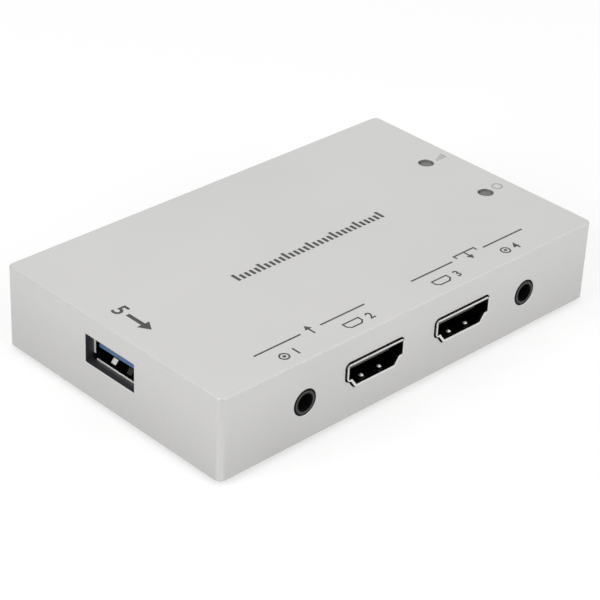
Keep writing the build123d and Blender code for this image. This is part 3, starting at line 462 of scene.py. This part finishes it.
def solid_piece(name, solids, finish, body, smooth=False):
    """One piece that rides on a body, from solids given as points in millimetres and faces."""
    starts = np.cumsum([0] + [len(points) for points, faces in solids])
    points = np.vstack([points for points, faces in solids]) * MM
    faces = [
        [corner_number + int(first) for corner_number in face]
        for first, (_, own_faces) in zip(starts, solids)
        for face in own_faces
    ]
    mesh = bpy.data.meshes.new(name)
    mesh.from_pydata(points.tolist(), [], faces)
    shape = bmesh.new()
    shape.from_mesh(mesh)
    bmesh.ops.remove_doubles(shape, verts=shape.verts, dist=merge_distance * MM)
    shape.to_mesh(mesh)
    shape.free()
    mesh.polygons.foreach_set("use_smooth", [smooth] * len(mesh.polygons))
    mesh.materials.append(finish)
    piece = bpy.data.objects.new(name, mesh)
    bpy.context.scene.collection.objects.link(piece)
    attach(piece, body)


def printed_piece(name, prints, finish):
    """Ink on the case's top, from flat prints whose third number is 0 or 1: the ink's height is
    its level plus that number times its whole thickness."""
    raised = []
    for points, faces in prints:
        level = ink_level + points[:, 2] * (ink_sink + ink_thickness)
        raised.append((np.column_stack([points[:, :2], level]), faces))
    solid_piece(name, raised, finish, "case")


dark_ink = worked_finish(
    "dark_ink",
    tones=((0.038, 0.038, 0.040), (0.065, 0.065, 0.067)),
    patch=2 * MM,
    gloss=(0.42, 0.60),
    grain=0.08 * MM,
    depth=0.002 * MM,
)
faint_ink = worked_finish(
    "faint_ink",
    tones=((0.46, 0.46, 0.46), (0.43, 0.43, 0.43)),
    patch=1 * MM,
    gloss=(0.42, 0.60),
    grain=0.08 * MM,
    depth=0.002 * MM,
)

rule_width = 0.38
in_rule_y, out_rule_y = -23.6, -23.5
rule_spans = [(in_rule_y, -36.05, -24.5), (in_rule_y, -19.5, -8.0)]
rule_spans += [(out_rule_y, 4.7, 16.25), (out_rule_y, 25.05, 36.5)]
rules = [ink_stroke([(start, y), (end, y)], rule_width) for y, start, end in rule_spans]
printed_piece("port_rules", rules, dark_ink)

symbol_width = 0.38
head_spread = 0.62
out_bracket = [(17.8, -23.3), (17.8, -22.35), (23.5, -22.35), (23.5, -23.3)]


def arrow(x, y, length, head, width, turn):
    """A straight shaft with a filled head, centred on x, y and pointing along the turn. The head
    spreads to each side by its length times head_spread."""
    cos, sin = math.cos(turn), math.sin(turn)
    along = np.array([[cos, sin], [-sin, cos]])
    tail, neck, tip = -length / 2, length / 2 - head, length / 2
    spread = head * head_spread
    shaft = np.array([(tail, 0.0), (neck, 0.0)]) @ along + (x, y)
    point = np.array([(neck, -spread), (tip, 0.0), (neck, spread)]) @ along + (x, y)
    return [ink_stroke(shaft, width), ink_patch(point)]


symbols = arrow(x=-22.1, y=-23.45, length=3.0, head=1.3, width=symbol_width, turn=quarter_turn)
symbols += arrow(x=20.65, y=-23.9, length=2.6, head=1.3, width=symbol_width, turn=-quarter_turn)
symbols += [ink_stroke(out_bracket, symbol_width)]
printed_piece("direction_arrows", symbols, dark_ink)

port_y = -27.1
picture_line = 0.34
numeral_height = 2.1
jack_places, socket_places = (("1", -30.35), ("4", 29.15)), (("2", -12.7), ("3", 11.1))
jack_picture_shift, jack_numeral_shift = -1.5, 1.4
socket_picture_shift, socket_numeral_shift = -1.6, 2.6
jack_picture_radius, jack_dot_radius = 0.95, 0.38
socket_picture = np.array(
    [(-2.0, 0.9), (-2.0, -0.2), (-1.25, -0.9), (1.25, -0.9), (2.0, -0.2), (2.0, 0.9)]
)
port_marks = []
for text, x in jack_places:
    picture_x = x + jack_picture_shift
    circle = round_path(picture_x, port_y, jack_picture_radius)
    dot = round_path(picture_x, port_y, jack_dot_radius, dot_sides)
    port_marks += [ink_stroke(circle, picture_line, closed=True), ink_patch(dot)]
    port_marks += [numeral(text, numeral_height, x + jack_numeral_shift, port_y)]
for text, x in socket_places:
    outline = socket_picture + (x + socket_picture_shift, port_y)
    port_marks += [ink_stroke(outline, picture_line, closed=True)]
    port_marks += [numeral(text, numeral_height, x + socket_numeral_shift, port_y)]
printed_piece("port_numerals", port_marks, dark_ink)

scale_start, scale_end = -19.9, 18.8
scale_foot, scale_head, scale_short = -2.4, 0.1, -0.7
tick_count, long_tick_every = 31, 5
tick_width = 0.68
ticks = []
for number, x in enumerate(np.linspace(scale_start, scale_end, tick_count)):
    head = scale_head if number % long_tick_every == 0 else scale_short
    ticks += [ink_stroke([(x, scale_foot), (x, head)], tick_width)]
printed_piece("centre_scale", ticks, dark_ink)

end_mark_x = -44.1
end_mark = [numeral("5", height=3.4, x=end_mark_x, y=3.9, turn=-quarter_turn)]
end_mark += arrow(x=end_mark_x, y=-1.6, length=6.8, head=2.4, width=0.90, turn=-quarter_turn)
printed_piece("end_mark", end_mark, dark_ink)

power_ring = round_path(x=46.3, y=-8.2, radius=1.05)
power_ring_width = 0.30
bar_x, bar_foot, bar_top, bar_rise = 45.3, 7.4, 8.0, 0.5
bar_gaps = (0.0, 0.8, 1.6, 2.4)
bar_width = 0.42
faint_marks = [ink_stroke(power_ring, power_ring_width, closed=True)]
for gap in bar_gaps:
    x = bar_x + gap
    faint_marks += [ink_stroke([(x, bar_foot), (x, bar_top + gap * bar_rise)], bar_width)]
printed_piece("indicator_marks", faint_marks, faint_ink)

# Base plate, screws, feet and insulating sheet. A clear anodised plate closes the cup, held by
# four countersunk screws; soft feet are glued into its recesses, and a black film lies inside.
plate_finish = worked_finish(
    "rolled_plate",
    tones=((0.60, 0.60, 0.60), (0.56, 0.56, 0.565)),
    patch=22 * MM,
    gloss=(0.34, 0.46),
    grain=0.20 * MM,
    depth=0.004 * MM,
    stretch=(0.12, 1, 1),
    Metallic=1.0,
)
coat(plate_finish, "base_plate")
screw_finish = worked_finish(
    "plated_steel",
    tones=((0.56, 0.56, 0.55), (0.46, 0.46, 0.45)),
    patch=1.2 * MM,
    gloss=(0.22, 0.38),
    grain=0.10 * MM,
    depth=0.003 * MM,
    Metallic=1.0,
)
coat(screw_finish, "base_screws", "board_screws")
foot_finish = worked_finish(
    "soft_rubber",
    tones=((0.016, 0.016, 0.016), (0.026, 0.026, 0.026)),
    patch=2.5 * MM,
    gloss=(0.62, 0.80),
    grain=0.15 * MM,
    depth=0.02 * MM,
)
coat(foot_finish, "front_left_foot", "front_right_foot", "rear_left_foot", "rear_right_foot")
film_finish = worked_finish(
    "black_film",
    tones=((0.020, 0.020, 0.021), (0.028, 0.028, 0.030)),
    patch=9 * MM,
    gloss=(0.38, 0.55),
    grain=0.3 * MM,
    depth=0.01 * MM,
)
coat(film_finish, "insulating_sheet")

# Data socket. A stamped and nickel plated shell holds a blue moulding whose tongue carries the
# gold plated contacts. A black block under it brings it to the height of its window.
data_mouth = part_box("data_shell")[0].x
data_hollow_low, data_hollow_high = (-6.27 * MM, 8.67 * MM), (6.27 * MM, 13.83 * MM)
# Painted highlight: the data shell's sheared mouth edge is near white; it is also made matt.
sheared_edge_highlight = (1.0, 0.99, 0.97)
edge_depth = 0.05 * MM
edge_matt = 0.38
painted_shade_nickel = (0.030, 0.029, 0.028)
painted_shade_start, painted_shade_end = 0.1 * MM, 0.7 * MM
painted_shade_mouth = 0.8
finger_low, finger_high = 8.80 * MM, 10.2 * MM
finger_reach = 3.4 * MM


def socket_nickel(name, axis, mouth, edge_highlight_tone, hollow_low, hollow_high, edge_floor):
    """A nickel finish whose edge at the socket's mouth, which is at the given place on the axis,
    0 for X and 1 for Y, is lighter as a painted highlight, and matt. In the hollow, which lies
    between two corners across the axis and up, the nickel is darkened behind the mouth as painted
    shade. A finger that stands off the hollow's floor, across from 0 to the finger's reach, is
    left out of that painted shade; a finger on the other side stays in it. The part of the edge
    that lies in the hollow and above the edge's floor isn't lightened."""
    finish = worked_finish(
        name,
        tones=((0.62, 0.61, 0.60), (0.54, 0.53, 0.52)),
        patch=3 * MM,
        gloss=(0.20, 0.34),
        grain=0.25 * MM,
        depth=0.004 * MM,
        Metallic=1.0,
    )
    parts = place_parts(finish)
    along, across, above = parts[axis], parts[1 - axis], parts[2]
    hollow = both(
        finish,
        inside_span(finish, across, hollow_low[0], hollow_high[0]),
        inside_span(finish, above, hollow_low[1], hollow_high[1]),
    )
    finger = both(
        finish,
        inside_span(finish, above, finger_low, finger_high),
        inside_span(finish, across, 0.0, finger_reach),
    )
    # Painted shade: behind the mouth the hollow's nickel is darkened, except on the finger on one
    # side; the finger on the other side stays in the painted shade.
    hollow_painted_shade = stretched(finish, along, painted_shade_mouth, 1, mouth + painted_shade_start, mouth + painted_shade_end)
    hollow_painted_shade = both(finish, both(finish, hollow_painted_shade, hollow), all_but(finish, finger))
    lay_over(finish, hollow_painted_shade, painted_shade_nickel)
    # Painted highlight: the edge at the mouth is lightened towards its tone, and its roughness is
    # raised.
    edge = measure(finish, "LESS_THAN", along, mouth + edge_depth)
    inner_edge = both(finish, hollow, measure(finish, "GREATER_THAN", above, edge_floor))
    edge = both(finish, edge, all_but(finish, inner_edge))
    lay_over(finish, edge, edge_highlight_tone)
    gloss = fed_by(finish, "Roughness")
    feed(finish, measure(finish, "MULTIPLY_ADD", edge, edge_matt, gloss), "Roughness")
    return finish


data_nickel = socket_nickel(
    "data_nickel",
    axis=0,
    mouth=data_mouth,
    edge_highlight_tone=sheared_edge_highlight,
    hollow_low=data_hollow_low,
    hollow_high=data_hollow_high,
    edge_floor=data_hollow_low[1],
)
blue_moulding = worked_finish(
    "blue_moulding",
    tones=((0.080, 0.175, 0.37), (0.068, 0.150, 0.33)),
    patch=2 * MM,
    gloss=(0.34, 0.50),
    grain=0.12 * MM,
    depth=0.006 * MM,
)
gold = worked_finish(
    "gold_plate",
    tones=((0.80, 0.60, 0.26), (0.72, 0.52, 0.22)),
    patch=1.5 * MM,
    gloss=(0.18, 0.32),
    grain=0.1 * MM,
    depth=0.002 * MM,
    Metallic=1.0,
)
black_moulding = worked_finish(
    "black_moulding",
    tones=((0.006, 0.006, 0.0065), (0.009, 0.009, 0.0095)),
    patch=3 * MM,
    gloss=(0.45, 0.62),
    grain=0.12 * MM,
    depth=0.008 * MM,
    Specular_IOR_Level=0.3,
)
coat(data_nickel, "data_shell")
coat(blue_moulding, "data_insulator")
coat(black_moulding, "data_base_block")
coat(gold, "data_contacts")

# Video sockets. Two stamped shells with sloping lower corners, each with a pair of spring
# fingers in its floor and one in its roof, round a moulding, dark grey rather than black as
# painted light in the deep hollow, whose tongue carries two rows of contacts. Each finger has a
# pressed dimple, coloured near white as a painted highlight.
rolled_edge_highlight = (0.70, 0.695, 0.685)
video_hollow_reach = 7.16 * MM
video_hollow_bottom, video_hollow_top = 7.68 * MM, 12.55 * MM
video_shoulder = 9.5 * MM
dimple_radius, dimple_height = 0.50, 0.34
dimple_rings, dimple_sides = 10, 32
dimple_y, dimple_spacing = -29.3, 4.7
finger_top, finger_under = 8.042, 12.192


def dimple(x, y, z, heading):
    """A cap raised on a spring finger, in millimetres. A point at share s of the radius stands
    at height times the cosine of a quarter turn times s; heading is 1 for up and -1 for down."""
    share = np.linspace(0, 1, dimple_rings + 1)[1:, None]
    angle = (np.arange(dimple_sides) * 2 * math.pi / dimple_sides)[None, :]
    ring_x = x + dimple_radius * share * np.cos(angle)
    ring_y = y + heading * dimple_radius * share * np.sin(angle)
    ring_z = z + heading * dimple_height * np.cos(share * math.pi / 2)
    points = np.stack([ring_x, ring_y, np.broadcast_to(ring_z, ring_x.shape)], 2).reshape(-1, 3)
    points = np.vstack([points, [(x, y, z + heading * dimple_height)]])
    row = np.arange(dimple_rings - 1)[:, None] * dimple_sides
    below = row + dimple_sides
    column = np.arange(dimple_sides)[None, :]
    turn = (column + 1) % dimple_sides
    walls = np.stack([row + column, below + column, below + turn, row + turn], 2)
    pole = len(points) - 1
    last = (dimple_rings - 1) * dimple_sides
    crown = [[pole, int(here), int(after)] for here, after in zip(column[0], turn[0])]
    base = [(last + column[0][::-1]).tolist()]
    return points, walls.reshape(-1, 4).tolist() + crown + base


# Painted highlight: the dimples are near white so that they read as glints.
dimple_painted_highlight = worked_finish(
    "dimple_painted_highlight",
    tones=((0.95, 0.94, 0.92), (0.90, 0.89, 0.87)),
    patch=1 * MM,
    gloss=(0.40, 0.50),
    grain=0.1 * MM,
    depth=0.001 * MM,
    Metallic=0.4,
)
# Painted light: the insulator is dark grey rather than black, to lift the shade in the deep
# socket.
insulator_painted_light = worked_finish(
    "insulator_painted_light",
    tones=((0.085, 0.084, 0.080), (0.10, 0.099, 0.095)),
    patch=3 * MM,
    gloss=(0.45, 0.62),
    grain=0.12 * MM,
    depth=0.008 * MM,
    Specular_IOR_Level=0.35,
)
for use in ("in", "out"):
    shell_low, shell_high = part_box(f"video_{use}_shell")
    middle_x = (shell_low.x + shell_high.x) / 2
    video_nickel = socket_nickel(
        f"video_{use}_nickel",
        axis=1,
        mouth=shell_low.y,
        edge_highlight_tone=rolled_edge_highlight,
        hollow_low=(middle_x - video_hollow_reach, video_hollow_bottom),
        hollow_high=(middle_x + video_hollow_reach, video_hollow_top),
        edge_floor=video_shoulder,
    )
    coat(video_nickel, f"video_{use}_shell")
    coat(insulator_painted_light, f"video_{use}_insulator")
    coat(gold, f"video_{use}_contacts")
    caps = []
    for side in (-1, 1):
        x = middle_x / MM + side * dimple_spacing / 2
        caps += [dimple(x, dimple_y, finger_top, 1), dimple(x, dimple_y, finger_under, -1)]
    solid_piece(
        f"video_{use}_dimples", caps, dimple_painted_highlight, "case", smooth=True
    )

# Audio jacks. A black moulded body whose round nozzle is flush with the case; the ring of the
# nozzle's face is painted lighter as a painted sheen, and is glossier. Two plated leaves lean
# into its bore, and solder pins go through the board.
jack_axis_z = 9.242 * MM
jacks_middle_x, jack_reach_x = 0.6 * MM, 30.0 * MM
jack_face_depth = 0.1 * MM
ring_inner, ring_outer = 1.98 * MM, 2.36 * MM
nozzle_face_painted_sheen = (0.032, 0.032, 0.033)
body_shine, ring_shine = 0.08, 0.45


def from_pair(finish, value, reach):
    """How far the value's size lies beyond the reach: the absolute value minus the reach."""
    return measure(finish, "SUBTRACT", measure(finish, "ABSOLUTE", value), reach)


def distance(finish, first, second):
    """The square root of the sum of the squares of two lengths at right angles."""
    second_square = measure(finish, "MULTIPLY", second, second)
    return measure(
        finish, "SQRT", measure(finish, "MULTIPLY_ADD", first, first, second_square)
    )


jack_moulding = worked_finish(
    "jack_moulding",
    tones=((0.008, 0.008, 0.0085), (0.011, 0.011, 0.0115)),
    patch=2.5 * MM,
    gloss=(0.42, 0.58),
    grain=0.12 * MM,
    depth=0.008 * MM,
    Specular_IOR_Level=0.35,
)
jack_x, jack_y, jack_z = place_parts(jack_moulding)
jack_x = measure(jack_moulding, "SUBTRACT", jack_x, jacks_middle_x)
from_jack_x = from_pair(jack_moulding, jack_x, jack_reach_x)
from_jack_z = measure(jack_moulding, "SUBTRACT", jack_z, jack_axis_z)
from_jack_axis = distance(jack_moulding, from_jack_x, from_jack_z)
nozzle_ring = both(
    jack_moulding,
    inside_span(jack_moulding, from_jack_axis, ring_inner, ring_outer),
    measure(jack_moulding, "LESS_THAN", jack_y, case_low.y + jack_face_depth),
)
# Painted sheen: the nozzle's face ring is lighter than the body.
lay_over(jack_moulding, nozzle_ring, nozzle_face_painted_sheen)
jack_shine = stretched(jack_moulding, nozzle_ring, body_shine, ring_shine, start=0, end=1)
feed(jack_moulding, jack_shine, "Specular IOR Level")
leaf_nickel = worked_finish(
    "stamped_nickel",
    tones=((0.70, 0.69, 0.67), (0.62, 0.61, 0.595)),
    patch=3 * MM,
    gloss=(0.20, 0.34),
    grain=0.25 * MM,
    depth=0.004 * MM,
    Metallic=1.0,
)
for use in ("in", "out"):
    coat(jack_moulding, f"audio_{use}_body")
    coat(leaf_nickel, *(f"audio_{use}_{kind}" for kind in ("pins", "tip_spring", "ring_spring")))

# Indicators. Frosted light pipes with smoked windows stand in the two holes of the top, a
# little below its face, over two white lamps on the board. Towards the edge of each window the
# colour darkens as painted shade from the hole's wall.
window_x, window_reach_y = 42.83 * MM, 8.4 * MM
window_rim_inner, window_rim_outer = 0.95 * MM, 1.6 * MM
window_rim_painted_shade = (0.030, 0.030, 0.031)
window_depth = 1.9 * MM
milky_stem = (0.48, 0.49, 0.49)
frosted = worked_finish(
    "frosted_window",
    tones=((0.20, 0.20, 0.205), (0.17, 0.17, 0.175)),
    patch=1.2 * MM,
    gloss=(0.30, 0.44),
    grain=0.10 * MM,
    depth=0.006 * MM,
)
pipe_x, pipe_y, pipe_z = place_parts(frosted)
from_window_x = measure(frosted, "SUBTRACT", pipe_x, window_x)
from_window_y = from_pair(frosted, pipe_y, window_reach_y)
from_window_axis = distance(frosted, from_window_x, from_window_y)
# Painted shade: the window darkens towards its edge, where the hole's wall shades it.
painted_window_rim_shade = ramp(frosted, from_window_axis, window_rim_inner, window_rim_outer)
lay_over(frosted, painted_window_rim_shade, window_rim_painted_shade)
in_case = measure(frosted, "LESS_THAN", pipe_z, case_high.z - window_depth)
lay_over(frosted, in_case, milky_stem)
lamp_white = worked_finish(
    "lamp_white",
    tones=((0.72, 0.72, 0.66), (0.66, 0.66, 0.60)),
    patch=1 * MM,
    gloss=(0.28, 0.4),
    grain=0.1 * MM,
    depth=0.004 * MM,
)
for use in ("power", "signal"):
    coat(frosted, f"{use}_light_pipe")
    coat(lamp_white, f"{use}_lamp")

# Circuit board. Glass cloth laminate under green lacquer, with bundles of copper tracks that
# show through it and plated holes, hung from four bosses of the ceiling by pan-head screws.
lacquer_green, track_green = (0.006, 0.050, 0.022), (0.016, 0.105, 0.045)
lacquer_gloss = (0.22, 0.36)
lacquer_grain = 0.3 * MM
track_pitch = 0.5 * MM
track_height = 0.02 * MM
track_crest = 0.62
wave_scale_for_pitch = 0.314
bundle_size = 7 * MM
bundles_along_x = (0.0, 0.4)
bundles_along_y = (0.4, 0.8)
hole_gold = (0.50, 0.40, 0.18)
hole_pitch = 2.4 * MM
hole_share = 0.11
lacquer = plain_finish("board_lacquer", Coat_Weight=0.4, Coat_Roughness=0.15)
board_place = piece_place(lacquer)
bundles = add(lacquer, "TexVoronoi", distance="CHEBYCHEV")
bundles.inputs["Scale"].default_value = 1 / bundle_size
join(lacquer, board_place, bundles.inputs["Vector"])
chosen = add(lacquer, "SeparateColor")
join(lacquer, bundles.outputs["Color"], chosen.inputs[0])


def tracks(direction, chosen_span):
    """Parallel tracks where a wave along the direction is above its crest, in the bundles whose
    chosen number lies in the span. The wave repeats once in the pitch when its scale is a
    twentieth of a whole turn, 0.314, over the pitch."""
    bands = add(lacquer, "TexWave", bands_direction=direction)
    bands.inputs["Scale"].default_value = wave_scale_for_pitch / track_pitch
    join(lacquer, board_place, bands.inputs["Vector"])
    crest = measure(lacquer, "GREATER_THAN", bands.outputs["Fac"], track_crest)
    return both(lacquer, crest, inside_span(lacquer, chosen.outputs[0], *chosen_span))


tracks_along_x = tracks("X", bundles_along_x)
tracks_along_y = tracks("Y", bundles_along_y)
copper = measure(lacquer, "MAXIMUM", tracks_along_x, tracks_along_y)
holes = add(lacquer, "TexVoronoi")
holes.inputs["Scale"].default_value = 1 / hole_pitch
join(lacquer, board_place, holes.inputs["Vector"])
plated = measure(lacquer, "LESS_THAN", holes.outputs["Distance"], hole_share)
feed(lacquer, mixed_tone(lacquer, copper, lacquer_green, track_green), "Base Color")
lay_over(lacquer, plated, hole_gold)
lacquer_fine = speckle(lacquer, lacquer_grain, board_place)
feed(lacquer, stretched(lacquer, lacquer_fine, *lacquer_gloss), "Roughness")
dented(lacquer, copper, track_height)
coat(lacquer, "main_board")

# Chips and heatsink. Moulded packages with a first-contact dot; the capture chip carries a
# black anodised finned heatsink on grey thermal tape.
chip_moulding = worked_finish(
    "chip_moulding",
    tones=((0.014, 0.014, 0.015), (0.020, 0.020, 0.021)),
    patch=2 * MM,
    gloss=(0.55, 0.72),
    grain=0.09 * MM,
    depth=0.006 * MM,
)
coat(chip_moulding, "capture_chip", "receiver_chip", "controller_chip", "audio_chip")
coat(chip_moulding, "memory_chip_1", "memory_chip_2", "flash_chip", "regulator_chips")
coat(chip_moulding, "protection_chips", "resistors")
tape_grey = worked_finish(
    "thermal_tape",
    tones=((0.28, 0.29, 0.32), (0.24, 0.25, 0.28)),
    patch=2 * MM,
    gloss=(0.6, 0.8),
    grain=0.2 * MM,
    depth=0.01 * MM,
)
coat(tape_grey, "thermal_tape")
black_anodised = worked_finish(
    "black_anodised",
    tones=((0.020, 0.020, 0.022), (0.030, 0.030, 0.033)),
    patch=4 * MM,
    gloss=(0.34, 0.48),
    grain=0.12 * MM,
    depth=0.005 * MM,
    Metallic=0.6,
)
coat(black_anodised, "heatsink")

# Small parts. Pressed powder inductors, drawn aluminium can capacitors, plated crystal lids
# and fired ceramic capacitors.
powder_grey = worked_finish(
    "pressed_powder",
    tones=((0.030, 0.030, 0.032), (0.045, 0.045, 0.048)),
    patch=1 * MM,
    gloss=(0.6, 0.8),
    grain=0.12 * MM,
    depth=0.02 * MM,
)
coat(powder_grey, "inductors")
drawn_can = worked_finish(
    "drawn_can",
    tones=((0.70, 0.70, 0.71), (0.62, 0.62, 0.63)),
    patch=2 * MM,
    gloss=(0.22, 0.36),
    grain=0.15 * MM,
    depth=0.004 * MM,
    stretch=(1, 1, 0.2),
    Metallic=1.0,
)
coat(drawn_can, "can_capacitor_1", "can_capacitor_2", "can_capacitor_3")
crystal_lid = worked_finish(
    "crystal_lid",
    tones=((0.66, 0.64, 0.58), (0.60, 0.58, 0.52)),
    patch=1 * MM,
    gloss=(0.20, 0.34),
    grain=0.1 * MM,
    depth=0.003 * MM,
    Metallic=1.0,
)
coat(crystal_lid, "video_crystal", "data_crystal")
fired_tan = worked_finish(
    "fired_ceramic",
    tones=((0.30, 0.20, 0.11), (0.25, 0.165, 0.09)),
    patch=0.5 * MM,
    gloss=(0.4, 0.6),
    grain=0.08 * MM,
    depth=0.004 * MM,
)
coat(fired_tan, "chip_capacitors")
